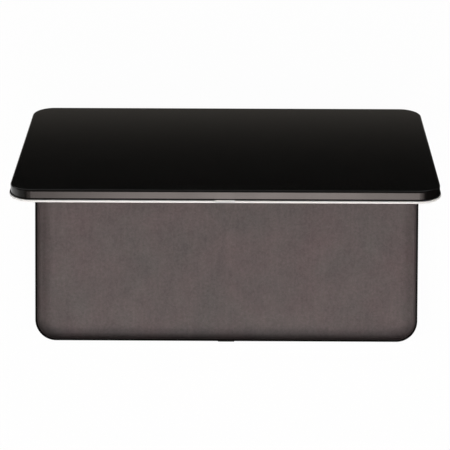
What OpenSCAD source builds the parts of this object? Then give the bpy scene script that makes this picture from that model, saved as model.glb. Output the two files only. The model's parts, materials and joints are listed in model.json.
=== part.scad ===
// Slim flat palette case: a shallow pressed tray and a matching pressed lid,
// joined along the back by two small riveted hinges. Both rims are turned
// outwards, and the lid carries a white sealing ring under its rim.
// Millimetres. +X runs to the right, +Y to the hinges, +Z up. The origin is
// the centre of the tray's underside.

/* [Case] */
// Width of the case over its rims, left to right
case_width = 200; // [150:1:240]
// Depth of the case over its rims, front to back
case_depth = 115.5; // [90:0.5:150]
// Radius of the rims at the four corners, seen from above
corner_radius = 11; // [8:0.5:18]
// Thickness of the pressed sheet
sheet = 0.55; // [0.4:0.05:0.8]
// How far both rims are turned out from the walls
rim_width = 0.5; // [0.4:0.05:0.6]

/* [Tray] */
// Height of the tray, underside to rim
tray_height = 7.5; // [7:0.1:12]
// Outer radius where the tray's walls meet its floor
tray_fillet = 2.9; // [1.5:0.1:2.9]

/* [Lid] */
// Height of the lid shell, rim to top
lid_height = 4.75; // [4.6:0.05:8]
// Outer radius round the lid's top edge
lid_fillet = 1.0; // [0.8:0.1:1.1]
// How far the lid stands open, from closed
open_angle = 70; // [0:1:180]
// Gap left between the tray's rim and the sealing ring when closed
closing_gap = 0.2; // [0.2:0.05:0.4]

/* [Sealing ring] */
// Thickness of the band that shows between the two rims
band_thickness = 1.2; // [1.1:0.05:1.25]
// How far the band stands out beyond the rims
band_out = 0.15; // [0.1:0.05:0.2]
// Radius of the band's outer edges
band_edge = 0.3; // [0.2:0.05:0.5]
// Thickness of the ring's skirt and lip
lip_thickness = 1.2; // [1:0.1:1.5]
// How far the lip reaches down into the tray's mouth
lip_depth = 0.65; // [0.6:0.05:0.9]
// Height of the skirt inside the lid's wall
skirt_height = 1.1; // [0.9:0.1:1.1]
// Clearance between the lip and the tray's wall
lip_clearance = 0.35; // [0.3:0.05:0.5]

/* [Front catch] */
// Straight length of the finger nick and of the tab below it
nick_length = 8; // [6:0.5:12]
// Radius of the rounded cutter that forms the nick
nick_radius = 1.2; // [1:0.1:1.3]
// Depth of the nick in the lid's rim
nick_depth = 0.5; // [0.3:0.05:0.5]
// How far the tab stands out from the tray's rim
tab_depth = 0.3; // [0.2:0.05:0.5]

/* [Hinges] */
// Distance of each hinge's middle from the middle of the case
hinge_offset = 62; // [40:1:70]
// Length of each hinge
hinge_length = 30; // [20:1:40]
// Radius of the hinge pin
pin_radius = 0.6; // [0.5:0.05:0.7]
// Outer radius of the rolled knuckles
knuckle_radius = 1.4; // [1.3:0.05:1.4]
// Gap between neighbouring knuckles
knuckle_gap = 0.25; // [0.2:0.05:0.4]
// Thickness of the hinge leaves
leaf_thickness = 0.55; // [0.4:0.05:0.6]
// Distance between neighbouring rivets on a leaf
rivet_pitch = 11; // [7:0.5:13]

/* [Hidden] */
$fn = 96;

// Colours
lacquer = [0.10, 0.095, 0.09];
lining = [0.34, 0.31, 0.30];
seal_white = [0.93, 0.93, 0.92];
hinge_black = [0.13, 0.13, 0.13];
steel = [0.62, 0.62, 0.63];

// Inner radius of the bend between a wall and its turned-out rim.
rim_bend = 0.1;

// The walls stand rim_width inside the outline. The pin's axis lies between
// the two rims, just behind the back wall.
wall_y = case_depth / 2 - rim_width;
axis_out = knuckle_radius + 0.3;
axis_y = wall_y + axis_out;
axis_z = tray_height + closing_gap / 2;
lid_rim_z = tray_height + closing_gap + band_thickness;

// The running clearance is in the lid's knuckles. The tray's hold the pin.
running_clearance = 0.05;
holding_clearance = 0.01;
pin_head_radius = 1;
pin_head_length = 0.4;

// A hinge has five knuckles: three on the tray's leaf and two on the lid's.
knuckle_count = 5;
tray_knuckles = [0, 2, 4];
lid_knuckles = [1, 3];
knuckle_width = (hinge_length - (knuckle_count - 1) * knuckle_gap) / knuckle_count;

// A leaf's plate starts leaf_start from the axis and ends leaf_end from it.
leaf_start = knuckle_radius + 0.4;
leaf_end = 4.7;
leaf_corner = 0.8;
strap_start = 0.2;

rivet_reach = 3.4;
rivet_radius = 0.6;
rivet_hole_radius = 0.62;
rivet_head_radius = 1.05;
rivet_head_height = 0.5;
rivet_tail_radius = 0.85;
rivet_tail_height = 0.4;

// Room beside each hinge where the rims and the ring are cut away.
hinge_room = 0.8;

// ---- shared shapes ----

// A profile swept round the case's outline. In the profile, x is the distance
// inwards from the outline and y is the height.
module swept() {
    for (turn = [0 : 3]) {
        along = turn % 2 == 0 ? case_width : case_depth;
        across = turn % 2 == 0 ? case_depth : case_width;
        rotate([0, 0, 90 * turn]) {
            translate([corner_radius - along / 2, -across / 2, 0])
                rotate([90, 0, 90])
                    linear_extrude(along - 2 * corner_radius)
                        children();
            translate([along / 2 - corner_radius, corner_radius - across / 2, 0])
                rotate([0, 0, -90])
                    rotate_extrude(angle = 90)
                        translate([corner_radius, 0])
                            mirror([1, 0])
                                children();
        }
    }
}

// The flat middle of a pressing, inside the swept border.
module middle_plate() {
    inner_width = case_width - 2 * corner_radius;
    inner_depth = case_depth - 2 * corner_radius;
    translate([-inner_width / 2, -inner_depth / 2, 0])
        cube([inner_width, inner_depth, sheet]);
}

// The bend of a sheet of this thickness through a quarter turn.
module quarter_bend(outer_radius) {
    intersection() {
        square(outer_radius);
        difference() {
            circle(outer_radius);
            circle(outer_radius - sheet);
        }
    }
}

// The border of a pressing: floor, rounded corner, wall and turned-out rim.
module pressed_border(height, fillet) {
    // floor
    translate([rim_width + fillet, 0])
        square([corner_radius - rim_width - fillet, sheet]);
    // rounded corner between floor and wall
    translate([rim_width + fillet, fillet])
        rotate(180)
            quarter_bend(fillet);
    // wall
    translate([rim_width, fillet])
        square([sheet, height - fillet - sheet - rim_bend]);
    // bend between wall and rim
    translate([rim_width - rim_bend, height - sheet - rim_bend])
        quarter_bend(sheet + rim_bend);
    // rim, with a full round along its edge
    translate([sheet / 2, height - sheet])
        square([rim_width - rim_bend - sheet / 2, sheet]);
    translate([sheet / 2, height - sheet / 2])
        circle(sheet / 2);
}

// A pressed shell with its floor down, its rim up.
module pressing(height, fillet) {
    swept()
        pressed_border(height, fillet);
    middle_plate();
}

// A bar with round ends along X.
module round_bar(length, radius) {
    translate([-length / 2, 0, 0])
        rotate([0, 90, 0])
            cylinder(r = radius, h = length);
    for (side = [-1, 1])
        translate([side * length / 2, 0, 0])
            sphere(radius);
}

// The finger nick, centred on the joint between the lid's rim and its seal.
module nick_cutter() {
    translate([0, nick_depth - nick_radius - case_depth / 2, lid_rim_z])
        round_bar(nick_length, nick_radius);
}

// The notches in the rims and the ring, from the back wall outwards.
module hinge_notches() {
    length = hinge_length + 2 * hinge_room;
    for (side = [-1, 1])
        translate([side * hinge_offset - length / 2, wall_y, 0])
            cube([length, 2 * axis_out, lid_rim_z + lid_height]);
}

// Turns a closed lid piece to where it stands open.
module opened() {
    translate([0, axis_y, axis_z])
        rotate([-open_angle, 0, 0])
            translate([0, -axis_y, -axis_z])
                children();
}

// Places a hinge piece at the left (-1) or right (1) hinge, on the pin's axis.
module at_hinge(side) {
    translate([side * hinge_offset, axis_y, axis_z])
        children();
}

// Repeats along the rivets of one leaf. The leaf hangs below the axis.
module at_rivets() {
    for (step = [-1 : 1])
        translate([step * rivet_pitch, -axis_out, -rivet_reach])
            rotate([-90, 0, 0])
                children();
}

module rivet_holes() {
    for (side = [-1, 1])
        at_hinge(side)
            at_rivets()
                translate([0, 0, -2 * sheet])
                    cylinder(r = rivet_hole_radius, h = 3 * sheet);
}

// One rivet along Z, with z = 0 at the wall's outer face.
module rivet() {
    dome_radius = (pow(rivet_head_radius, 2) + pow(rivet_head_height, 2))
        / (2 * rivet_head_height);
    translate([0, 0, -sheet])
        cylinder(r = rivet_radius, h = sheet + leaf_thickness);
    translate([0, 0, leaf_thickness])
        rotate_extrude()
            intersection() {
                translate([0, rivet_head_height - dome_radius])
                    circle(dome_radius);
                square([rivet_head_radius, rivet_head_height]);
            }
    translate([0, 0, -sheet - rivet_tail_height])
        cylinder(r = rivet_tail_radius, h = rivet_tail_height);
}

// A leaf's plate, seen along Y, with rounded lower corners.
module leaf_outline() {
    half = hinge_length / 2;
    translate([-half, leaf_corner - leaf_end])
        square([hinge_length, leaf_end - leaf_start - leaf_corner]);
    translate([leaf_corner - half, -leaf_end])
        square([hinge_length - 2 * leaf_corner, leaf_corner]);
    for (side = [-1, 1])
        translate([side * (half - leaf_corner), leaf_corner - leaf_end])
            circle(leaf_corner);
}

// One hinge leaf, hanging below the axis, with its knuckles.
module leaf(knuckles, bore_clearance) {
    difference() {
        union() {
            translate([0, leaf_thickness - axis_out, 0])
                rotate([90, 0, 0])
                    linear_extrude(leaf_thickness)
                        leaf_outline();
            for (k = knuckles)
                translate([k * (knuckle_width + knuckle_gap) - hinge_length / 2, 0, 0]) {
                    rotate([0, 90, 0])
                        cylinder(r = knuckle_radius, h = knuckle_width);
                    translate([0, -axis_out, -leaf_start - 0.1])
                        cube([knuckle_width, leaf_thickness, leaf_start - strap_start + 0.1]);
                }
        }
        translate([-hinge_length / 2 - 1, 0, 0])
            rotate([0, 90, 0])
                cylinder(r = pin_radius + bore_clearance, h = hinge_length + 2);
        at_rivets()
            translate([0, 0, -sheet])
                cylinder(r = rivet_hole_radius, h = 3 * sheet);
    }
}

// ---- tray ----

// A short tab on the tray's rim, below the finger nick.
module rim_tab() {
    tab_y = sheet / 2 - tab_depth - case_depth / 2;
    translate([0, tab_y, tray_height - sheet / 2])
        round_bar(nick_length, sheet / 2);
    translate([-nick_length / 2, tab_y, tray_height - sheet])
        cube([nick_length, tab_depth, sheet]);
}

module base_tray() {
    color(lining)
        difference() {
            union() {
                pressing(tray_height, tray_fillet);
                rim_tab();
            }
            hinge_notches();
            rivet_holes();
        }
}

module base_leaf(side) {
    color(hinge_black)
        at_hinge(side)
            leaf(tray_knuckles, holding_clearance);
}

module base_leaf_left() {
    base_leaf(-1);
}

module base_leaf_right() {
    base_leaf(1);
}

module base_rivets() {
    color(steel)
        for (side = [-1, 1])
            at_hinge(side)
                at_rivets()
                    rivet();
}

module hinge_pin(side) {
    length = hinge_length + 2 * pin_head_length;
    color(steel)
        at_hinge(side)
            rotate([0, 90, 0])
                translate([0, 0, -length / 2]) {
                    cylinder(r = pin_radius, h = length);
                    cylinder(r = pin_head_radius, h = pin_head_length);
                    translate([0, 0, length - pin_head_length])
                        cylinder(r = pin_head_radius, h = pin_head_length);
                }
}

module hinge_pin_left() {
    hinge_pin(-1);
}

module hinge_pin_right() {
    hinge_pin(1);
}

// ---- lid ----

// What is made like the tray's pieces, turned over about the pin's axis.
module turned_over() {
    translate([0, 0, 2 * axis_z])
        mirror([0, 0, 1])
            children();
}

module lid_shell() {
    color(lacquer)
        opened()
            difference() {
                translate([0, 0, lid_rim_z + lid_height])
                    mirror([0, 0, 1])
                        pressing(lid_height, lid_fillet);
                nick_cutter();
                hinge_notches();
                turned_over()
                    rivet_holes();
            }
}

// The ring's section, with y = 0 at the lid's rim.
module seal_section() {
    skirt_start = rim_width + sheet;
    lip_start = skirt_start + lip_clearance;
    edge_x = band_edge - band_out;
    lip_end = lip_thickness / 2 - band_thickness - lip_depth;
    // band between the rims, with rounded outer edges
    translate([edge_x, -band_thickness])
        square([lip_start + lip_thickness - edge_x, band_thickness]);
    translate([-band_out, band_edge - band_thickness])
        square([band_edge, band_thickness - 2 * band_edge]);
    for (edge_y = [band_edge - band_thickness, -band_edge])
        translate([edge_x, edge_y])
            circle(band_edge);
    // skirt that grips the inside of the lid's wall
    translate([skirt_start, 0])
        square([lip_thickness, skirt_height]);
    // lip that enters the tray's mouth
    translate([lip_start, lip_end])
        square([lip_thickness, lip_depth]);
    translate([lip_start + lip_thickness / 2, lip_end])
        circle(lip_thickness / 2);
}

module lid_seal() {
    color(seal_white)
        opened()
            difference() {
                translate([0, 0, lid_rim_z])
                    swept()
                        seal_section();
                nick_cutter();
                hinge_notches();
            }
}

module lid_leaf(side) {
    color(hinge_black)
        opened()
            turned_over()
                at_hinge(side)
                    leaf(lid_knuckles, running_clearance);
}

module lid_leaf_left() {
    lid_leaf(-1);
}

module lid_leaf_right() {
    lid_leaf(1);
}

module lid_rivets() {
    color(steel)
        opened()
            turned_over()
                for (side = [-1, 1])
                    at_hinge(side)
                        at_rivets()
                            rivet();
}

base_tray();
lid_shell();
lid_seal();
base_leaf_left();
base_leaf_right();
lid_leaf_left();
lid_leaf_right();
hinge_pin_left();
hinge_pin_right();
base_rivets();
lid_rivets();
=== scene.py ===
# %% [markdown]
# # A slim hinged palette case
# The case is two shallow pressings of thin steel, a tray and a lid, joined at
# the back by two small riveted hinges. A white ring sits under the lid's rim
# and closes on the tray's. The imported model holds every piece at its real
# size, so this lesson starts from it: each piece below is made in the same
# place, with the bevels, rolls and finishes that the plain solids lack.

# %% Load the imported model
import json
import math

import bmesh
import bpy
from mathutils import Matrix, Vector


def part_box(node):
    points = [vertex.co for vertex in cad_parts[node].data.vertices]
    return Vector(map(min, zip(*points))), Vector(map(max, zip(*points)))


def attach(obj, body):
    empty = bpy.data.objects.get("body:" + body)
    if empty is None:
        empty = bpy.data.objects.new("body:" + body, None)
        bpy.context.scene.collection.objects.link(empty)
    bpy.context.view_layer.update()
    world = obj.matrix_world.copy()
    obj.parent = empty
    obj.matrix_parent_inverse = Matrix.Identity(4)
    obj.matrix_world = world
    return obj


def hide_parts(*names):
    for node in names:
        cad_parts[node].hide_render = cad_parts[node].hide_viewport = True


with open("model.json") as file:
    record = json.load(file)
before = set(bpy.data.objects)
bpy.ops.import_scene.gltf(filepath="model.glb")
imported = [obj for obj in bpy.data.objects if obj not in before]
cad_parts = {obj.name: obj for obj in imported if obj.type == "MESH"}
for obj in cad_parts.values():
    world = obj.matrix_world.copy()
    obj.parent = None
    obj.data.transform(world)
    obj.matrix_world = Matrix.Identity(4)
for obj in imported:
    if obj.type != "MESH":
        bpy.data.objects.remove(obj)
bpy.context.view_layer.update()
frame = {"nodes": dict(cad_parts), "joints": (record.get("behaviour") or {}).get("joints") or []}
print("nodes:", sorted(frame["nodes"]))

# %% [markdown]
# ## Sizes
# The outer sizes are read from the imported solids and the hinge's place from
# its joint. The rest are the sheet's own measures, in millimetres, because
# pressed metal is drawn that way, and one factor turns them to metres. A hair
# is the small distance by which places are told apart.

# %% Sizes of the case
MM = 0.001
hair = 0.01 * MM
tray_low, tray_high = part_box("base_tray")
case_width = tray_high[0] - tray_low[0]
case_depth = 2 * tray_high[1]
corner_radius = 11 * MM
sheet = 0.55 * MM
rim_width, rim_bend = 0.5 * MM, 0.1 * MM
wall_y = case_depth / 2 - rim_width
tray_height = tray_high[2] - tray_low[2]
tray_fillet = 2.9 * MM
lid_height = 4.75 * MM
lid_fillet = 1.0 * MM
closing_gap = 0.2 * MM
band_thickness = 1.2 * MM
lid_rim_z = tray_height + closing_gap + band_thickness
print("case", round(case_width / MM, 2), "x", round(case_depth / MM, 2), "mm, lid's rim at",
      round(lid_rim_z / MM, 2), "mm when it is shut")

# %% The hinge's line
hinge_joint = frame["joints"][0]
hinge_point = Vector(hinge_joint["pos_m"])
open_angle = math.radians(-hinge_joint["range_deg"][0])
print("hinge at", [round(v / MM, 2) for v in hinge_point], "mm, open by",
      round(math.degrees(open_angle), 1), "degrees")

# %% [markdown]
# ## The camera
# The case is looked at from almost straight above, from about a metre away
# with a long lens, so the tray is seen flat on and the open lid leans towards
# the eye. The lens follows from the picture's width in pixels and from the
# distance, in pixels too, at which that width fills the view. The Standard
# view shows a colour as it is written.

# %% Camera
CAMERA_PLACE = (6.72 * MM, 52.21 * MM, 919.97 * MM)
CAMERA_TURN = (-0.05371, 0.00822, 0.00449)
SENSOR = 36.0
FOCAL_PIXELS, PICTURE_PIXELS = 1751.2, 450

camera_data = bpy.data.cameras.new("camera")
camera_data.sensor_width = SENSOR
camera_data.lens = SENSOR * FOCAL_PIXELS / PICTURE_PIXELS
camera_data.clip_start = 0.01
camera_data.clip_end = 20
camera = bpy.data.objects.new("camera", camera_data)
camera.rotation_mode = "ZYX"
camera.rotation_euler = CAMERA_TURN
camera.location = CAMERA_PLACE
bpy.context.scene.collection.objects.link(camera)
bpy.context.scene.camera = camera
bpy.context.scene.view_settings.view_transform = "Standard"
print("lens", round(camera_data.lens, 1), "mm")

# %% [markdown]
# ## Working as by hand
# An operator acts on whatever is selected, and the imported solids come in
# selected. So each step first drops every selection, then opens one piece and
# picks its points, edges or faces by a rule about their place or direction.

# %% Selecting one piece
def deselect_all():
    if bpy.context.object and bpy.context.object.mode != "OBJECT":
        bpy.ops.object.mode_set(mode="OBJECT")
    bpy.ops.object.select_all(action="DESELECT")


def make_active(piece):
    deselect_all()
    piece.select_set(True)
    bpy.context.view_layer.objects.active = piece


def start_editing(piece, mode, action):
    """Edit mode on this piece alone, with all of it selected or none of it."""
    make_active(piece)
    bpy.ops.object.mode_set(mode="EDIT")
    bpy.ops.mesh.select_mode(type=mode)
    bpy.ops.mesh.select_all(action=action)


def stop_editing():
    bpy.ops.object.mode_set(mode="OBJECT")


# %% Picking by a rule
def pick(piece, mode, rule):
    """Selects only the points, edges or faces that the rule says yes to."""
    start_editing(piece, mode, "DESELECT")
    mesh = bmesh.from_edit_mesh(piece.data)
    parts = {"VERT": mesh.verts, "EDGE": mesh.edges, "FACE": mesh.faces}[mode]
    for part in parts:
        part.select_set(bool(rule(part)))
    bmesh.update_edit_mesh(piece.data)
    return sum(part.select for part in parts)


# %% A plane at its size and place
def flat_sheet(name, width, depth, place, turn=(0, 0, 0)):
    """A plane of this size. Its place and turn are left in its mesh."""
    deselect_all()
    bpy.ops.mesh.primitive_plane_add(size=1, location=place, rotation=turn)
    piece = bpy.context.object
    piece.name = piece.data.name = name
    piece.scale = (width, depth, 1)
    bpy.ops.object.transform_apply(location=True, rotation=True, scale=True)
    return piece


# %% [markdown]
# ## A pressing
# The tray and the lid are made the same way: a flat blank is drawn over a
# rounded punch and its rim is turned out, so it is one sheet thick all over.
# Here the blank is a plane with rounded corners. It is pulled up to a block,
# and the top is inset by one sheet and sunk to the floor. The outside of the
# wall is then cut one sheet below the top, and the strip above the cut is
# pushed out to make the rim. Bevels give the bends. Insets keep exact widths,
# which scaling would not.
#
# The case's outline is that of its two rims. How far a point lies inside it
# is what picks the edges of one bend, all the way round.

# %% A blank with rounded corners
CORNER_STEPS = 24


def blank(name, z, depth_inwards):
    """A flat plane with the case's outline, or one that lies inside it."""
    piece = flat_sheet(name, case_width - 2 * depth_inwards, case_depth - 2 * depth_inwards,
                       (0, 0, z))
    start_editing(piece, "VERT", "SELECT")
    bpy.ops.mesh.bevel(offset=corner_radius - depth_inwards, segments=CORNER_STEPS,
                       profile=0.5, affect="VERTICES")
    stop_editing()
    return piece


# %% Rules for what is picked on a pressing
def inwards(point):
    """How far a point lies inside the case's outline, seen from above."""
    beside = abs(point.x) - (case_width / 2 - corner_radius)
    beyond = abs(point.y) - (case_depth / 2 - corner_radius)
    if beside > 0 and beyond > 0:
        return corner_radius - math.hypot(beside, beyond)
    return min(case_width / 2 - abs(point.x), case_depth / 2 - abs(point.y))


def ring_rule(z, depth):
    """Picks the edges that run round the case at this height and depth inwards."""
    height_slack, depth_slack = 2 * hair, 10 * hair

    def rule(edge):
        return all(abs(v.co.z - z) < height_slack and abs(inwards(v.co) - depth) < depth_slack
                   for v in edge.verts)
    return rule


def on_outer_wall(face):
    """True on the outside of a pressing's wall, where it stands upright."""
    upright = abs(face.normal.z) < 0.1
    return upright and abs(inwards(face.calc_center_median()) - rim_width) < 5 * hair


# %% Tools for what is picked
def face_outwards():
    """Turns every face of the mesh being edited outwards."""
    bpy.ops.mesh.select_all(action="SELECT")
    bpy.ops.mesh.normals_make_consistent(inside=False)
    bpy.ops.mesh.select_all(action="DESELECT")


def bevel_picked(radius, segments):
    bpy.ops.mesh.bevel(offset=radius, segments=segments, profile=0.5, affect="EDGES")


def extrude_picked(x=0.0, y=0.0, z=0.0):
    bpy.ops.mesh.extrude_region_move(TRANSFORM_OT_translate={"value": (x, y, z)})


# %% The shell of a pressing
def shell(name, height):
    """A block with a sunk top and a rim that is turned out, all corners still sharp."""
    rim_z = height - sheet
    piece = blank(name, 0, rim_width)
    start_editing(piece, "FACE", "SELECT")
    extrude_picked(z=height)
    face_outwards()
    pick(piece, "FACE", lambda face: face.calc_center_median().z > rim_z)
    bpy.ops.mesh.inset(thickness=sheet, depth=0)
    extrude_picked(z=sheet - height)
    # the outside of the wall, cut under the rim, and pushed out above the cut
    pick(piece, "FACE", on_outer_wall)
    bpy.ops.mesh.bisect(plane_co=(0, 0, rim_z), plane_no=(0, 0, 1))
    count = pick(piece, "FACE", lambda face: on_outer_wall(face)
                 and face.calc_center_median().z > rim_z)
    bpy.ops.mesh.extrude_region_shrink_fatten(
        TRANSFORM_OT_shrink_fatten={"value": rim_width, "use_even_offset": True})
    print("  turned out", count, "faces of the outer wall")
    # the top is one flat strip from here on, so that it can be bent as one
    pick(piece, "EDGE", ring_rule(height, rim_width))
    bpy.ops.mesh.dissolve_edges()
    return piece


# %% The bends of a pressing
# A rim's edge is rounded from both sides by just under half a sheet.
edge_round = 0.49 * sheet
border = 0.5 * MM


def pressing(name, height, fillet):
    """A finished shell with its floor at z = 0 and its rim up."""
    piece = shell(name, height)
    rim_z = height - sheet
    inner = rim_width + sheet
    # Each bend is a height, a depth inwards, a radius and its steps: the floor's outer and
    # inner corner, the rim's inner and outer bend, and the two sides of the rim's edge.
    bends = [
        (0.0, rim_width, fillet, 10),
        (sheet, inner, fillet - sheet, 8),
        (height, inner, sheet + rim_bend, 6),
        (rim_z, rim_width, rim_bend, 2),
        (height, 0.0, edge_round, 4),
        (rim_z, 0.0, edge_round, 4),
    ]
    for z, depth, radius, segments in bends:
        count = pick(piece, "EDGE", ring_rule(z, depth))
        bevel_picked(radius, segments)
        print("  bent", count, "edges at height", round(z / MM, 2), "mm")
    # a narrow border keeps the two sides of the floor flat in shading
    half_the_case = 0.5 * case_width * case_depth
    for z in (0.0, sheet):
        pick(piece, "FACE", lambda face: face.calc_area() > half_the_case
             and abs(face.calc_center_median().z - z) < 5 * hair)
        bpy.ops.mesh.inset(thickness=border, depth=0)
    face_outwards()
    stop_editing()
    return piece


# %% [markdown]
# ## Blocks and round bars as tools
# The rims and the ring are cut away where the hinges pass them, each time by
# a plain block. The finger nick in the lid's rim is left by a short bar with
# round ends: a cylinder whose end rings are bevelled to domes. A boolean uses
# each tool once and drops it.

# %% Booleans
def apply_modifier(piece, kind, **settings):
    make_active(piece)
    modifier = piece.modifiers.new(kind.title(), kind)
    for name, value in settings.items():
        setattr(modifier, name, value)
    bpy.ops.object.modifier_apply(modifier=modifier.name)


def use_tool(piece, tool, operation):
    apply_modifier(piece, "BOOLEAN", object=tool, operation=operation, solver="EXACT")
    bpy.data.objects.remove(tool)


def block(name, low, high):
    deselect_all()
    bpy.ops.mesh.primitive_cube_add(size=1, location=[(a + b) / 2 for a, b in zip(low, high)])
    piece = bpy.context.object
    piece.name = name
    piece.scale = [b - a for a, b in zip(low, high)]
    bpy.ops.object.transform_apply(location=True, rotation=True, scale=True)
    return piece


# %% Room for the hinges
hinge_offset, hinge_length, hinge_room = 62 * MM, 30 * MM, 0.8 * MM
tool_under, tool_over, tool_beyond = 1 * MM, 20 * MM, 3 * MM


def cut_notches(piece):
    """Makes room for both hinges in a rim, from the back wall outwards."""
    half = hinge_length / 2 + hinge_room
    for side in (-1, 1):
        middle = side * hinge_offset
        notch = block("notch", (middle - half, wall_y + hair, -tool_under),
                      (middle + half, wall_y + tool_beyond, tool_over))
        use_tool(piece, notch, "DIFFERENCE")


# %% A bar with round ends
def round_bar(name, length, radius, centre):
    """A bar along X, centred on x = 0. Each dome leaves a very small flat cap."""
    dome = 0.97 * radius
    end = length / 2 + radius
    deselect_all()
    bpy.ops.mesh.primitive_cylinder_add(vertices=48, radius=radius, depth=2 * end,
                                        location=centre, rotation=(0, math.pi / 2, 0))
    bar = bpy.context.object
    bar.name = name
    bpy.ops.object.transform_apply(location=True, rotation=True, scale=True)
    # an edge with both its points at one end of the bar
    pick(bar, "EDGE", lambda edge: abs(abs(edge.verts[0].co.x + edge.verts[1].co.x)
                                       - 2 * end) < hair)
    bevel_picked(dome, 10)
    stop_editing()
    return bar


# %% [markdown]
# ## Finishing and measuring
# A finished mesh has no doubles, its faces point outwards, and only shallow
# angles are smoothed. Weighted normals keep its flat faces truly flat beside
# the bevels. The size and place of each piece are then printed, to be read
# against the solid's.

# %% Finishing a mesh
def finish_mesh(piece, smooth_angle=35):
    start_editing(piece, "VERT", "SELECT")
    bpy.ops.mesh.remove_doubles(threshold=0.2 * hair)
    face_outwards()
    stop_editing()
    bpy.ops.object.shade_smooth_by_angle(angle=math.radians(smooth_angle))
    apply_modifier(piece, "WEIGHTED_NORMAL", keep_sharp=True, weight=100)


def report(piece):
    if piece.mode == "EDIT":
        piece.update_from_editmode()
    corners = [piece.matrix_world @ v.co for v in piece.data.vertices]
    low = [round(min(c[i] for c in corners) / MM, 2) for i in range(3)]
    high = [round(max(c[i] for c in corners) / MM, 2) for i in range(3)]
    print(piece.name, len(piece.data.polygons), "faces, from", low, "to", high, "mm")


# %% [markdown]
# ## The tray
# The tray is the pressing as it stands. A small tab on its front rim gives
# the finger a hold when the lid is shut. It is a block with rounded front
# edges, a hair thinner than the rim so that no two faces coincide.

# %% Tray
nick_length, nick_radius, nick_depth = 8 * MM, 1.2 * MM, 0.5 * MM
tab_depth, tab_round = 0.3 * MM, 0.27 * MM

tray = pressing("tray_pressing", tray_height, tray_fillet)
tab_front = -case_depth / 2 - tab_depth
tab_side = (nick_length + sheet) / 2
tab = block("tab", (-tab_side, tab_front, tray_height - sheet + hair),
            (tab_side, sheet / 2 - case_depth / 2, tray_height - hair))
pick(tab, "EDGE", lambda edge: all(abs(v.co.y - tab_front) < hair for v in edge.verts))
bevel_picked(tab_round, 4)
stop_editing()
use_tool(tray, tab, "UNION")
cut_notches(tray)
finish_mesh(tray)
report(tray)

# %% [markdown]
# ## Colours and nodes
# Colours are written as the sRGB hex values that a paint maker would give,
# and one function turns them to the linear values that the renderer uses.
# One more adds a node: its settings by name, and for each socket either a
# value or the output that it is linked to.

# %% Helpers for materials
def paint(hex_value):
    """An sRGB hex value, such as 4e4140, as linear red, green, blue and alpha."""
    parts = [int(hex_value[i:i + 2], 16) / 255 for i in (0, 2, 4)]
    linear = [c / 12.92 if c <= 0.04045 else ((c + 0.055) / 1.055) ** 2.4 for c in parts]
    return (*linear, 1.0)


def add_node(tree, kind, sockets=None, **settings):
    """Adds one node, with its settings, the values of its sockets and its links."""
    node = tree.nodes.new(kind)
    for name, value in settings.items():
        setattr(node, name, value)
    for name, value in (sockets or {}).items():
        if isinstance(value, bpy.types.NodeSocket):
            tree.links.new(value, node.inputs[name])
        else:
            node.inputs[name].default_value = value
    return node


def new_material(name):
    """A material whose tree is still empty."""
    material = bpy.data.materials.new(name)
    material.use_nodes = True
    material.node_tree.nodes.clear()
    return material, material.node_tree


# A Mix node has sockets of every kind under the same names, so those for
# colours go by their number.
AMOUNT, FIRST, SECOND, MIXED = 0, 6, 7, 2

# Noise hardly ever leaves this range, which is spread out where it sets a gloss or a shade.
NOISE_LOW, NOISE_HIGH = 0.3, 0.7

# %% [markdown]
# ## A plain coat
# Most of the finishes here are built alike: two close shades in slow patches,
# bumps of one or two widths, and a gloss that varies a little where the piece
# has been handled or worn. The sizes are real ones, and noise is scaled by
# one over its size. A stretch draws the bumps out to lines.

# %% A plain coat
def coat(name, patch, shades, reliefs, wear, gloss, skin, stretch=(1, 1, 1)):
    """A finish of two shades with fine reliefs and a gloss between two roughnesses.

    A relief is the width of its bumps, their detail, their strength and their depth. The skin
    is what else the shader is told, such as its IOR.
    """
    material, tree = new_material(name)
    place = add_node(tree, "ShaderNodeTexCoord").outputs["Object"]
    drawn_out = add_node(tree, "ShaderNodeMapping",
                         {"Vector": place, "Scale": [1 / s for s in stretch]}).outputs["Vector"]
    patches = add_node(tree, "ShaderNodeTexNoise",
                       {"Vector": place, "Scale": 1 / patch, "Detail": 3}).outputs["Fac"]
    shade = add_node(tree, "ShaderNodeMix", {AMOUNT: patches, FIRST: paint(shades[0]),
                                             SECOND: paint(shades[1])}, data_type="RGBA")
    under = {}
    for width, detail, strength, depth in reliefs:
        bumps = add_node(tree, "ShaderNodeTexNoise",
                         {"Vector": drawn_out, "Scale": 1 / width, "Detail": detail})
        relief = add_node(tree, "ShaderNodeBump",
                          {"Height": bumps.outputs["Fac"], "Strength": strength,
                           "Distance": depth, **under})
        under = {"Normal": relief.outputs["Normal"]}
    worn = add_node(tree, "ShaderNodeTexNoise",
                    {"Vector": place, "Scale": 1 / wear, "Detail": 3}).outputs["Fac"]
    roughness = add_node(tree, "ShaderNodeMapRange",
                         {"Value": worn, "From Min": NOISE_LOW, "From Max": NOISE_HIGH,
                          "To Min": gloss[0], "To Max": gloss[1]}).outputs["Result"]
    shader = add_node(tree, "ShaderNodeBsdfPrincipled",
                      {"Base Color": shade.outputs[MIXED], "Roughness": roughness,
                       **under, **skin})
    add_node(tree, "ShaderNodeOutputMaterial", {"Surface": shader.outputs["BSDF"]})
    print("made", name, "of", len(tree.nodes), "nodes")
    return material


# %% [markdown]
# ## Black stoved enamel
# The outside of the case is tinplate with black stoved enamel: sprayed, then
# baked until it flows nearly flat. The eye sees a deep black with clear,
# slightly soft reflections, a very faint ripple a few millimetres across, and
# small differences in gloss where it has been handled. The specks are dust
# under the enamel. Real ones are a tenth of a millimetre, too fine to show,
# so they are drawn three times as wide.

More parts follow.
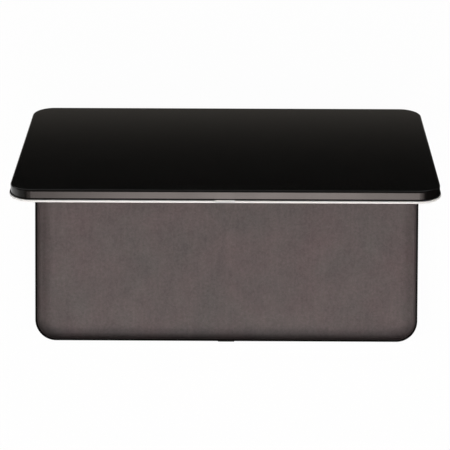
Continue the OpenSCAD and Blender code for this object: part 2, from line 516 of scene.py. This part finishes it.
# %% Black enamel
ripple, speck = (2.2 * MM, 2, 0.05, 0.02 * MM), (0.35 * MM, 2, 0.03, 0.01 * MM)
enamel = coat("black_stoved_enamel", patch=30 * MM, shades=("0d0c0b", "12100f"),
              reliefs=(ripple, speck), wear=14 * MM, gloss=(0.17, 0.23), skin={"IOR": 1.5})

# %% [markdown]
# ## Thin enamel on cut edges
# Enamel draws back from a sharp cut edge while it bakes. On the round edge of
# the rims and in the finger nick it is thin and dull, so the eye sees a soft
# grey line there and no clear reflection. Its grain is that of the sheared
# steel under it, a few hundredths of a millimetre, and is drawn at 0.3 mm so
# that it still shows.

# %% Thin enamel
sheared_grain = (0.3 * MM, 2, 0.1, 0.02 * MM)
edge_enamel = coat("thin_enamel_on_cut_edges", patch=4 * MM, shades=("0b0a0a", "100f0e"),
                   reliefs=(sheared_grain,), wear=2 * MM, gloss=(0.5, 0.62),
                   skin={"IOR": 1.5})

# %% [markdown]
# ## Charcoal satin lacquer
# Inside, the tray has a thin satin lacquer, rolled on over the steel and
# baked. The eye sees a warm dark grey that is mottled at four sizes: slow
# clouds where the coat is thicker or thinner, a faint drift between a greener
# and a browner grey, the orange peel of the lacquer itself, and short faint
# streaks from front to back that the roller left. Real orange peel is about
# half a millimetre across and a roller's streaks a few tenths. Both are drawn
# two to three times as coarse, because finer ones don't show.

# %% Charcoal lacquer
def charcoal_lacquer():
    cloud, tint, peel, streak, streak_length = 18 * MM, 32 * MM, 1.2 * MM, 1.4 * MM, 9
    material, tree = new_material("charcoal_satin_lacquer")
    place = add_node(tree, "ShaderNodeTexCoord").outputs["Object"]
    drawn_out = add_node(tree, "ShaderNodeMapping",
                         {"Vector": place, "Scale": (1, 1 / streak_length, 1)}).outputs["Vector"]
    # where it lies, its size, detail and roughness, and the paint at its low and high places
    patterns = {
        "clouds": (place, cloud, 5, 0.7, "4b4443", "7a706d"),
        "tints": (place, tint, 4, 0.6, "5a615b", "6c5656"),
        "peel": (place, peel, 4, 0.8, "443d3d", "81767a"),
        "streaks": (drawn_out, streak, 2, 0.5, "544c4b", "736866"),
    }
    spread, shades = {}, {}
    for name, (vector, size, detail, roughness, low, high) in patterns.items():
        noise = add_node(tree, "ShaderNodeTexNoise", {"Vector": vector, "Scale": 1 / size,
                                                      "Detail": detail, "Roughness": roughness})
        spread[name] = add_node(tree, "ShaderNodeMapRange",
                                {"Value": noise.outputs["Fac"], "From Min": NOISE_LOW,
                                 "From Max": NOISE_HIGH}).outputs["Result"]
        shades[name] = add_node(tree, "ShaderNodeMix",
                                {AMOUNT: spread[name], FIRST: paint(low), SECOND: paint(high)},
                                data_type="RGBA").outputs[MIXED]
    fine = add_node(tree, "ShaderNodeMix", {AMOUNT: 0.3, FIRST: shades["peel"],
                                            SECOND: shades["streaks"]}, data_type="RGBA")
    broad = add_node(tree, "ShaderNodeMix", {AMOUNT: 0.5, FIRST: shades["clouds"],
                                             SECOND: shades["tints"]}, data_type="RGBA")
    shade = add_node(tree, "ShaderNodeMix", {AMOUNT: 0.5, FIRST: fine.outputs[MIXED],
                                             SECOND: broad.outputs[MIXED]}, data_type="RGBA")
    relief = add_node(tree, "ShaderNodeBump",
                      {"Height": spread["peel"], "Strength": 0.12, "Distance": 0.02 * MM})
    gloss = add_node(tree, "ShaderNodeMapRange",
                     {"Value": spread["peel"], "To Min": 0.46, "To Max": 0.54})
    shader = add_node(tree, "ShaderNodeBsdfPrincipled",
                      {"Base Color": shade.outputs[MIXED], "Roughness": gloss.outputs["Result"],
                       "Normal": relief.outputs["Normal"], "IOR": 1.48})
    add_node(tree, "ShaderNodeOutputMaterial", {"Surface": shader.outputs["BSDF"]})
    return material


lacquer = charcoal_lacquer()
print("made", lacquer.name)

# %% [markdown]
# ## Two finishes on one pressing
# Only the inside of the tray has the charcoal lacquer. It ends where the wall
# bends out to the rim, so the rim and the outside are black enamel. A mesh
# can hold several finishes, and each face gets the number of one of them, by
# its place and by the way it looks.

# %% Tray finishes
def is_inside(face):
    """True on the lacquered inside: floor, fillet and wall below the rim's bend."""
    centre = face.center
    skin = 0.8 * sheet
    below_the_bend = centre.z <= tray_height - sheet - rim_bend
    past_the_skin = inwards(centre) > rim_width + skin and centre.z > skin
    outwards = Vector((centre.x / case_width, centre.y / case_depth, 0))
    looks_up_or_in = face.normal.z > -0.01 and face.normal.dot(outwards) < 0.02
    return below_the_bend and past_the_skin and looks_up_or_in


def coat_outside(piece):
    """Enamel all over, thin on the rim's round edge and in its nick. The lid is still shut."""
    piece.data.materials.append(enamel)
    piece.data.materials.append(edge_enamel)
    thin = 0
    for face in piece.data.polygons:
        spread = max(abs(piece.data.vertices[i].co.x) for i in face.vertices)
        in_nick = face.center.y < 0 and spread < nick_length / 2 + nick_radius + hair
        if in_nick or inwards(face.center) < sheet / 2:
            face.material_index = 1
            thin += 1
    print("thin enamel on", thin, "of", len(piece.data.polygons), "faces of", piece.name)


coat_outside(tray)
tray.data.materials.append(lacquer)
lacquered = [face for face in tray.data.polygons if is_inside(face)]
for face in lacquered:
    face.material_index = 2
print("lacquer on", len(lacquered), "faces")
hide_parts("base_tray")
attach(tray, "base")

# %% [markdown]
# ## The lid
# The lid is the same pressing with a tighter radius, turned over. The finger
# nick is cut while it is shut, and then it is swung open about the hinge. A
# finished piece keeps its place in its mesh, so that its object sits at the
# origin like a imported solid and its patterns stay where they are.

# %% Turning a piece
def settle(piece, turn):
    """Moves a piece by a matrix, then leaves its place in the mesh."""
    make_active(piece)
    piece.matrix_world = turn @ piece.matrix_world
    bpy.ops.object.transform_apply(location=True, rotation=True, scale=True)


def about(point, angle, axis):
    """A turn about a line through a point."""
    there = Matrix.Translation(point)
    return there @ Matrix.Rotation(angle, 4, axis) @ there.inverted()


# The lid swings back about the hinge, so opening is a negative turn about +X.
OPEN = about(hinge_point, -open_angle, "X")

# %% Lid
nick_place = (0, nick_depth - nick_radius - case_depth / 2, lid_rim_z)

lid = pressing("lid_pressing", lid_height, lid_fillet)
settle(lid, Matrix.Translation((0, 0, lid_rim_z + lid_height)) @ Matrix.Rotation(math.pi, 4, "X"))
use_tool(lid, round_bar("nick", nick_length, nick_radius, nick_place), "DIFFERENCE")
cut_notches(lid)
finish_mesh(lid)
coat_outside(lid)
settle(lid, OPEN)
report(lid)
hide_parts("lid_shell")
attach(lid, "lid")

# %% [markdown]
# ## White silicone
# The ring is moulded silicone rubber, filled white. The eye sees a matt skin
# with a little light going in, and no clear reflection. The mould leaves a
# texture of a few hundredths of a millimetre, which is drawn at a quarter of
# a millimetre so that it shows from near by.

# %% White silicone
mould_texture = (0.25 * MM, 2, 0.06, 0.02 * MM)
silicone = coat("white_moulded_silicone", patch=9 * MM, shades=("f1f1ef", "f7f7f5"),
                reliefs=(mould_texture,), wear=6 * MM, gloss=(0.48, 0.56),
                skin={"IOR": 1.41, "Subsurface Weight": 0.1, "Subsurface Scale": 1,
                      "Subsurface Radius": (1.0 * MM, 0.9 * MM, 0.8 * MM)})

# %% [markdown]
# ## The sealing ring
# One moulding: a band that shows between the rims, a skirt that grips the
# inside of the lid's wall, and a lip that enters the tray's mouth. It starts
# as a solid slab with the band's outline. The slab stops a little short of
# the lid's rim, so that the ring shows a fine dark line there, as soft rubber
# does beside a pressed edge. The skirt is raised from its top, the lip from
# its underside, and bridging the two inner faces opens the middle.

# %% Slab, skirt and lip
band_out, band_set_back = 0.15 * MM, 0.12 * MM
lip_thickness, lip_depth, skirt_height = 1.2 * MM, 0.65 * MM, 1.1 * MM
lip_clearance = 0.35 * MM
skirt_start = rim_width + sheet
lip_start = skirt_start + lip_clearance
band_z = lid_rim_z - band_thickness
band_top = lid_rim_z - band_set_back

ring = blank("sealing_ring", band_z, -band_out)
start_editing(ring, "FACE", "SELECT")
extrude_picked(z=band_top - band_z)
face_outwards()
pick(ring, "FACE", lambda face: face.normal.z > 0.9)
bpy.ops.mesh.inset(thickness=band_out + skirt_start, depth=0)
extrude_picked(z=lid_rim_z + skirt_height - band_top)
bpy.ops.mesh.inset(thickness=lip_thickness, depth=0)
extrude_picked(z=-skirt_height)
bpy.ops.mesh.inset(thickness=lip_clearance, depth=0)
pick(ring, "FACE", lambda face: abs(face.calc_center_median().z - band_z) < hair)
bpy.ops.mesh.inset(thickness=band_out + lip_start, depth=0)
extrude_picked(z=-lip_depth)
bpy.ops.mesh.inset(thickness=lip_thickness, depth=0)
# only the two inner faces are nearly as large as the case
nearly_the_case = 0.8 * case_width * case_depth
pick(ring, "FACE", lambda face: face.calc_area() > nearly_the_case)
bpy.ops.mesh.bridge_edge_loops()
report(ring)

# %% Rounding, nick and notches
band_round, lip_round, skirt_round = 0.3 * MM, 0.45 * MM, 0.3 * MM
lip_z, skirt_z = band_z - lip_depth, lid_rim_z + skirt_height
for z, depth, radius in ((lip_z, lip_start, lip_round),
                         (lip_z, lip_start + lip_thickness, lip_round),
                         (band_z, -band_out, band_round),
                         (band_top, -band_out, band_round),
                         (skirt_z, skirt_start, skirt_round),
                         (skirt_z, skirt_start + lip_thickness, skirt_round)):
    print("  rounded", pick(ring, "EDGE", ring_rule(z, depth)), "edges of the ring")
    bevel_picked(radius, 4)
stop_editing()
finish_mesh(ring, 40)
use_tool(ring, round_bar("nick", nick_length, nick_radius, nick_place), "DIFFERENCE")
cut_notches(ring)
finish_mesh(ring, 40)
settle(ring, OPEN)
ring.data.materials.append(silicone)
report(ring)
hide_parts("lid_seal")
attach(ring, "lid")

# %% [markdown]
# ## Blacked steel strip
# The hinges' leaves are rolled steel strip, blacked in a bath and left satin.
# The eye sees a dull near-black with a faint grain along the strip. The
# grain's lines are about 0.05 mm wide on real strip, and 0.3 mm here, so that
# they show from near by.

# %% Blacked steel
rolled_grain = (0.3 * MM, 3, 0.1, 0.02 * MM)
leaf_steel = coat("blacked_steel_strip", patch=3 * MM, shades=("1a1918", "24211f"),
                  reliefs=(rolled_grain,), wear=1.5 * MM, gloss=(0.34, 0.46),
                  skin={"IOR": 1.5}, stretch=(6, 1, 1))

# %% [markdown]
# ## Hinge leaves
# A leaf is one strip of sheet. Its plate lies flat on the wall, and tongues
# at its upper edge are rolled round the pin: three on the tray's leaf, two on
# the lid's. It is made as a surface first: a plane, cut at the ends of the
# tongues, whose tongues are extruded to where they touch the roll and then
# spun about the pin's axis. Solidify gives it the thickness of the sheet.

# %% Hinge sizes
KNUCKLES = 5
pin_radius, knuckle_radius, knuckle_gap = 0.6 * MM, 1.4 * MM, 0.25 * MM
leaf_thickness, leaf_start, leaf_end = 0.55 * MM, 1.8 * MM, 4.7 * MM
knuckle_width = (hinge_length - (KNUCKLES - 1) * knuckle_gap) / KNUCKLES
plate_y = wall_y + leaf_thickness / 2
plate_top, plate_foot = hinge_point.z - leaf_start, hinge_point.z - leaf_end
roll_radius = knuckle_radius - leaf_thickness / 2
roll_turn, roll_steps = math.radians(296), 26

# where a straight tongue from the plate's upper edge touches the roll
reach = Vector((plate_y - hinge_point.y, -leaf_start))
touch = math.atan2(reach.y, reach.x) - math.acos(roll_radius / reach.length)
touch_y = hinge_point.y + roll_radius * math.cos(touch)
touch_z = hinge_point.z + roll_radius * math.sin(touch)
print("knuckles", round(knuckle_width / MM, 2), "mm wide, tongues",
      round((touch_z - plate_top) / MM, 2), "mm high")


# %% The plate of a leaf
def knuckle_start(k):
    return k * (knuckle_width + knuckle_gap) - hinge_length / 2


def cut_plate(name):
    """The plate, in the middle of the case's back, with a cut at each end of each tongue."""
    plate_corner = 0.8 * MM
    leaf = flat_sheet(name, hinge_length, leaf_end - leaf_start,
                      (0, plate_y, (plate_top + plate_foot) / 2), (math.pi / 2, 0, 0))
    pick(leaf, "VERT", lambda vertex: abs(vertex.co.z - plate_foot) < hair)
    bpy.ops.mesh.bevel(offset=plate_corner, segments=6, profile=0.5, affect="VERTICES")
    for k in range(KNUCKLES):
        for x in (knuckle_start(k), knuckle_start(k) + knuckle_width):
            if abs(x) < hinge_length / 2 - hair:
                bpy.ops.mesh.select_all(action="SELECT")
                bpy.ops.mesh.bisect(plane_co=(x, 0, 0), plane_no=(1, 0, 0))
    return leaf


# %% The rolled tongues
def hinge_leaf(name, knuckles):
    """A leaf whose tongues make the knuckles of these numbers, counted from the left."""
    edge_bevel, sharp_from = 0.05 * MM, math.radians(50)
    leaf = cut_plate(name)

    def is_tongue(edge):
        middle = (edge.verts[0].co + edge.verts[1].co) / 2
        upper = all(abs(v.co.z - plate_top) < hair for v in edge.verts)
        return upper and any(0 < middle.x - knuckle_start(k) < knuckle_width for k in knuckles)

    count = pick(leaf, "EDGE", is_tongue)
    bpy.ops.mesh.extrude_edges_move(
        TRANSFORM_OT_translate={"value": (0, touch_y - plate_y, touch_z - plate_top)})
    bpy.ops.mesh.spin(steps=roll_steps, angle=roll_turn, center=hinge_point, axis=(1, 0, 0))
    stop_editing()
    print("  rolled", count, "tongues")
    apply_modifier(leaf, "SOLIDIFY", thickness=leaf_thickness, offset=0, use_even_offset=True)
    apply_modifier(leaf, "BEVEL", width=edge_bevel, segments=2, limit_method="ANGLE",
                   angle_limit=sharp_from)
    finish_mesh(leaf, 30)
    return leaf


# %% Leaves on both hinges
def place_copies(first, turn, names, body, material):
    """Puts a piece on each hinge, one on each side, each with a mesh of its own."""
    first.data.materials.append(material)
    second = first.copy()
    second.data = first.data.copy()
    bpy.context.scene.collection.objects.link(second)
    for piece, side, name in ((first, -1, names[0]), (second, 1, names[1])):
        settle(piece, turn @ Matrix.Translation((side * hinge_offset, 0, 0)))
        piece.name = piece.data.name = "dressed_" + name
        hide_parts(name)
        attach(piece, body)
        report(piece)


CLOSED = Matrix.Identity(4)
# Half a turn about a line from front to back stands a leaf above the pin, as
# the lid's is while the lid is shut. OPEN then swings it back with the lid.
OVER = about(hinge_point, math.pi, "Y")
place_copies(hinge_leaf("tray_leaf", (0, 2, 4)), CLOSED,
             ("base_leaf_left", "base_leaf_right"), "base", leaf_steel)
place_copies(hinge_leaf("lid_leaf", (1, 3)), OPEN @ OVER,
             ("lid_leaf_right", "lid_leaf_left"), "lid", leaf_steel)

# %% [markdown]
# ## Drawn steel
# The pins and rivets are plain drawn steel wire. The eye sees a light grey
# metal, duller than chrome, whose reflections are spread by the fine marks
# that the die left. Those are a few hundredths of a millimetre wide, and
# drawn at 0.12 mm here.

# %% Drawn steel
die_marks = (0.12 * MM, 3, 0.12, 0.01 * MM)
pin_steel = coat("drawn_steel", patch=1.2 * MM, shades=("a9a8a6", "bdbbb8"),
                 reliefs=(die_marks,), wear=0.6 * MM, gloss=(0.28, 0.4),
                 skin={"Metallic": 1})

# %% [markdown]
# ## Pins and rivets
# Both are turned shapes, so each starts as a short cylinder: its end face is
# inset to the shank, drawn out, widened again for the other head, and the
# heads are rounded over with a bevel.

# %% Turned shapes
def headed_bar(name, foot, shank, head):
    """A bar along +Z from the origin. Foot and head are a radius, a height and a rounding."""
    foot_radius, foot_height, foot_round = foot
    shank_radius, shank_length = shank
    head_radius, head_height, head_round = head
    deselect_all()
    bpy.ops.mesh.primitive_cylinder_add(vertices=40, radius=foot_radius, depth=foot_height,
                                        location=(0, 0, foot_height / 2))
    bar = bpy.context.object
    bar.name = bar.data.name = name
    bpy.ops.object.transform_apply(location=True, rotation=True, scale=True)
    pick(bar, "FACE", lambda face: face.normal.z > 0.9)
    bpy.ops.mesh.inset(thickness=foot_radius - shank_radius, depth=0)
    extrude_picked(z=shank_length)
    # drawn out by nothing and then widened, this is the underside of the head
    extrude_picked(z=0)
    wider = head_radius / shank_radius
    bpy.ops.transform.resize(value=(wider, wider, 1))
    extrude_picked(z=head_height)
    top = foot_height + shank_length + head_height
    for z, radius, rounding in ((0, foot_radius, foot_round), (top, head_radius, head_round)):
        pick(bar, "EDGE", lambda edge: all(abs(v.co.z - z) < 0.1 * hair
                                           and abs(v.co.xy.length - radius) < hair
                                           for v in edge.verts))
        bevel_picked(rounding, 6)
    stop_editing()
    finish_mesh(bar, 40)
    return bar


# %% Pins
pin_head = (1.0 * MM, 0.4 * MM, 0.3 * MM)
pin = headed_bar("pin", pin_head, (pin_radius, hinge_length), pin_head)
pin_end = (-hinge_length / 2 - pin_head[1], hinge_point.y, hinge_point.z)
settle(pin, Matrix.Translation(pin_end) @ Matrix.Rotation(math.pi / 2, 4, "Y"))
place_copies(pin, CLOSED, ("hinge_pin_left", "hinge_pin_right"), "base", pin_steel)

# %% [markdown]
# Each leaf is held by three rivets. The round head is outside, on the leaf,
# and the smaller tail is set on the inside of the wall. The six of the tray
# are one piece, and so are the six of the lid.

# %% One rivet
rivet_pitch, rivet_reach = 11 * MM, 3.4 * MM
rivet_tail, rivet_head = (0.85 * MM, 0.4 * MM, 0.15 * MM), (1.05 * MM, 0.5 * MM, 0.46 * MM)
rivet = headed_bar("rivet", rivet_tail, (0.6 * MM, sheet + leaf_thickness), rivet_head)
rivet_end = (0, wall_y - sheet - rivet_tail[1], hinge_point.z - rivet_reach)
settle(rivet, Matrix.Translation(rivet_end) @ Matrix.Rotation(-math.pi / 2, 4, "X"))
rivet.data.materials.append(pin_steel)
report(rivet)


# %% Two rows of rivets
def rivet_row(name, turn, body):
    """The six rivets of the tray or of the lid, as one piece."""
    copies = []
    for side in (-1, 1):
        for step in (-1, 0, 1):
            one = rivet.copy()
            one.data = rivet.data.copy()
            bpy.context.scene.collection.objects.link(one)
            settle(one, turn @ Matrix.Translation(
                (side * hinge_offset + step * rivet_pitch, 0, 0)))
            copies.append(one)
    make_active(copies[0])
    for one in copies:
        one.select_set(True)
    bpy.ops.object.join()
    row = bpy.context.object
    row.name = row.data.name = "dressed_" + name
    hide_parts(name)
    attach(row, body)
    report(row)


rivet_row("base_rivets", CLOSED, "base")
rivet_row("lid_rivets", OPEN @ OVER, "lid")
bpy.data.objects.remove(rivet)

# %% [markdown]
# ## Table and room
# The case lies on a white table in a dim studio. Black enamel shows only what
# is put round it, so what is seen in it and what lights it are set apart: the
# camera and reflections see a nearly white table and a dark room, white only
# at the horizon, with a dim window behind. Diffuse light meets a matt table,
# which keeps the case's shadow, and an even, weak dome.

# %% Table
def seen_directly(tree):
    """1 for rays of the camera, of mirrors and of glass, and 0 for diffuse light."""
    rays = add_node(tree, "ShaderNodeLightPath").outputs
    seen = rays["Is Camera Ray"]
    for name in ("Is Glossy Ray", "Is Transmission Ray"):
        seen = add_node(tree, "ShaderNodeMath", {0: seen, 1: rays[name]},
                        operation="MAXIMUM").outputs[0]
    return seen


def white_table():
    material, tree = new_material("white_table")
    glow = 0.97
    share = add_node(tree, "ShaderNodeMath", {0: seen_directly(tree), 1: glow},
                     operation="MULTIPLY")
    matt = add_node(tree, "ShaderNodeBsdfDiffuse", {"Color": paint("f4f4f4")})
    white = add_node(tree, "ShaderNodeEmission", {"Strength": 1})
    both = add_node(tree, "ShaderNodeMixShader",
                    {0: share.outputs[0], 1: matt.outputs[0], 2: white.outputs[0]})
    add_node(tree, "ShaderNodeOutputMaterial", {"Surface": both.outputs[0]})
    return material


# just under the tray, so that no two faces coincide
table_size, table_z = 6, -0.2 * MM
table = flat_sheet("table", table_size, table_size, (0, 0, table_z))
table.data.materials.append(white_table())
print("table", table_size, "m wide")

# %% Room
world = bpy.data.worlds.new("studio")
world.use_nodes = True
bpy.context.scene.world = world
sky = world.node_tree
sky.nodes.clear()
towards = add_node(sky, "ShaderNodeTexCoord").outputs["Generated"]
direction = add_node(sky, "ShaderNodeSeparateXYZ", {"Vector": towards}).outputs
# walls that fade from white at the horizon to a dark ceiling
walls = add_node(sky, "ShaderNodeMapRange", {"Value": direction["Z"], "From Min": 0.02,
                                             "From Max": 0.25, "To Min": 1, "To Max": 0.04})
window = add_node(sky, "ShaderNodeMapRange", {"Value": direction["Y"], "From Min": 0.35,
                                              "From Max": 1, "To Min": 0, "To Max": 0.3})
room = add_node(sky, "ShaderNodeMath", {0: walls.outputs["Result"], 1: window.outputs["Result"]},
                operation="MAXIMUM")
# the dome of diffuse light, a little weaker towards the back
dome = add_node(sky, "ShaderNodeMapRange", {"Value": direction["Y"], "From Min": -0.4,
                                            "From Max": 0.4, "To Min": 0.2, "To Max": 0.15})
level = add_node(sky, "ShaderNodeMix", {0: seen_directly(sky), 2: dome.outputs["Result"],
                                        3: room.outputs[0]}, data_type="FLOAT")
glow = add_node(sky, "ShaderNodeBackground", {"Strength": level.outputs[0]})
add_node(sky, "ShaderNodeOutputWorld", {"Surface": glow.outputs[0]})
print("room of", len(sky.nodes), "nodes")

# %% [markdown]
# ## Lamps
# A weak square softbox stands on the left. Three matt strips light the tray,
# one from above and one from each side, and reflections don't see them, so
# the black enamel stays black. A lamp's power follows from how bright its
# face should be: brightness times pi times area.

# %% Softbox and strips
def aimed(place, aim):
    return (Vector(aim) - Vector(place)).to_track_quat("-Z", "Y").to_euler()


def softbox(name, place, aim, width, height, radiance):
    """A rectangular soft light whose face is this bright."""
    data = bpy.data.lights.new(name, "AREA")
    data.shape = "RECTANGLE"
    data.size = width
    data.size_y = height
    data.energy = radiance * math.pi * width * height
    lamp = bpy.data.objects.new(name, data)
    lamp.location = place
    lamp.rotation_euler = aimed(place, aim)
    bpy.context.scene.collection.objects.link(lamp)
    print(name, "of", round(data.energy, 2), "W")
    return lamp


softbox("left_softbox", place=(-1.15, -0.35, 0.75), aim=(0, 0, 0.05), width=1.0, height=1.0,
        radiance=0.32)
strip_y = -0.25
for name, x, z, radiance in (("top_strip", 0, 1.2, 1.7),
                             ("left_strip", -0.95, 1.1, 5.3),
                             ("right_strip", 0.95, 1.1, 3.6)):
    strip = softbox(name, place=(x, strip_y, z), aim=(0, 0, 0), width=0.8, height=0.5,
                    radiance=radiance)
    strip.visible_glossy = False

# %% [markdown]
# ## Front softbox
# The lid's front wall is a narrow mirror that looks forwards and up. What it
# shows is a wide cloth in front of the case, lit from behind by three lamps:
# a strong one in the middle, a broad weak one on the right and a small weak
# one on the left. Each fades smoothly from its middle to the end of its
# reach, so the wall is brightest in its middle and dims towards its corners.

# %% Cloth lit by three lamps
front_x, front_y, front_z = 0.1, -0.75, 0.95
front_width, front_height = 2.0, 1.0


def glowing_cloth(spots):
    """Cloth that glows where the lamps behind it are: their x, reach and brightness."""
    material, tree = new_material("softbox_cloth")
    place = add_node(tree, "ShaderNodeTexCoord").outputs["Object"]
    total = 0
    for x, reach, radiance in spots:
        away = add_node(tree, "ShaderNodeVectorMath", {0: place, 1: (x, front_y, front_z)},
                        operation="DISTANCE")
        glow = add_node(tree, "ShaderNodeMapRange",
                        {"Value": away.outputs["Value"], "From Min": 0, "From Max": reach,
                         "To Min": radiance, "To Max": 0}, interpolation_type="SMOOTHSTEP")
        total = add_node(tree, "ShaderNodeMath", {0: glow.outputs["Result"], 1: total},
                         operation="ADD").outputs[0]
    cloth = add_node(tree, "ShaderNodeEmission", {"Color": paint("fff0eb"), "Strength": total})
    add_node(tree, "ShaderNodeOutputMaterial", {"Surface": cloth.outputs[0]})
    return material


# it leans back squarely, so it is aimed from straight in front of the case
front = flat_sheet("front_softbox", front_width, front_height, (front_x, front_y, front_z),
                   aimed((0, front_y, front_z), (0, 0, 0.1)))
middle_spot, right_spot, left_spot = (5 * MM, 0.38, 6.9), (0.4, 0.5, 2.0), (-0.5, 0.25, 1.2)
front.data.materials.append(glowing_cloth((middle_spot, right_spot, left_spot)))
front.visible_camera = False
front.visible_shadow = False
print("cloth", front_width, "x", front_height, "m")

# %% [markdown]
# ## Cards
# The table would show as a pale sheet in the leaning lid and in its
# right-hand corner, so cards lie on it: a glowing grey one behind the case
# that darkens away from it, which is a painted reflection in the lid's roof,
# and a black one on the right with a black flag standing at its end. Only
# reflections see them, so the table stays white and loses no light.

# %% Glow of a card
def card_glow(name, near_glow, far_glow, near_y, fade):
    """A card's own glow, unlit, going from near to far, mostly near the start if fade is over 1.
    """
    fade_reach = 75 * MM
    material, tree = new_material(name)
    place = add_node(tree, "ShaderNodeTexCoord").outputs["Object"]
    axes = add_node(tree, "ShaderNodeSeparateXYZ", {"Vector": place}).outputs
    nearness = add_node(tree, "ShaderNodeMapRange",
                        {"Value": axes["Y"], "From Min": near_y, "From Max": near_y + fade_reach,
                         "To Min": 1, "To Max": 0})
    amount = add_node(tree, "ShaderNodeMath", {0: nearness.outputs["Result"], 1: fade},
                      operation="POWER")
    shade = add_node(tree, "ShaderNodeMix", {AMOUNT: amount.outputs[0], FIRST: paint(far_glow),
                                             SECOND: paint(near_glow)}, data_type="RGBA")
    # the card glows in its own colour and no light falls on it: on the grey card this is a
    # painted reflection for the lid
    matt = add_node(tree, "ShaderNodeEmission", {"Color": shade.outputs[MIXED]})
    add_node(tree, "ShaderNodeOutputMaterial", {"Surface": matt.outputs[0]})
    return material


# %% Cards on the table
card_z = 0.3 * MM
behind_hinges = 66 * MM    # the hinges reach back to 63.8 mm


def show_only_to_reflections(piece):
    piece.visible_camera = False
    piece.visible_diffuse = False
    piece.visible_shadow = False


def card(name, low, high, near_glow, far_glow, fade):
    """A card that lies on the table between two corners."""
    piece = flat_sheet(name, high[0] - low[0], high[1] - low[1],
                       ((low[0] + high[0]) / 2, (low[1] + high[1]) / 2, card_z))
    piece.data.materials.append(card_glow(name, near_glow, far_glow, low[1], fade))
    show_only_to_reflections(piece)
    print(name, "from", low, "to", high)
    return piece


# painted reflection: the grey card glows lighter near the case and darker away from it, for the
# lid's roof
card("painted_reflection_card", low=(-0.5, behind_hinges), high=(0.5, 0.6), near_glow="8c8780",
     far_glow="20201f", fade=3.9)
black_card = card("black_card", low=(0.115, -0.9), high=(0.6, behind_hinges),
                  near_glow="060606", far_glow="060606", fade=1)

# %% Flag at the end of the black card
flag_width, flag_height = 2.0, 0.7
flag_place = (0.6, -0.1, flag_height / 2)
flag = flat_sheet("black_flag", flag_height, flag_width, flag_place, (0, math.pi / 2, 0))
flag.data.materials.append(black_card.data.materials[0])
show_only_to_reflections(flag)
print("flag", flag_width, "x", flag_height, "m")
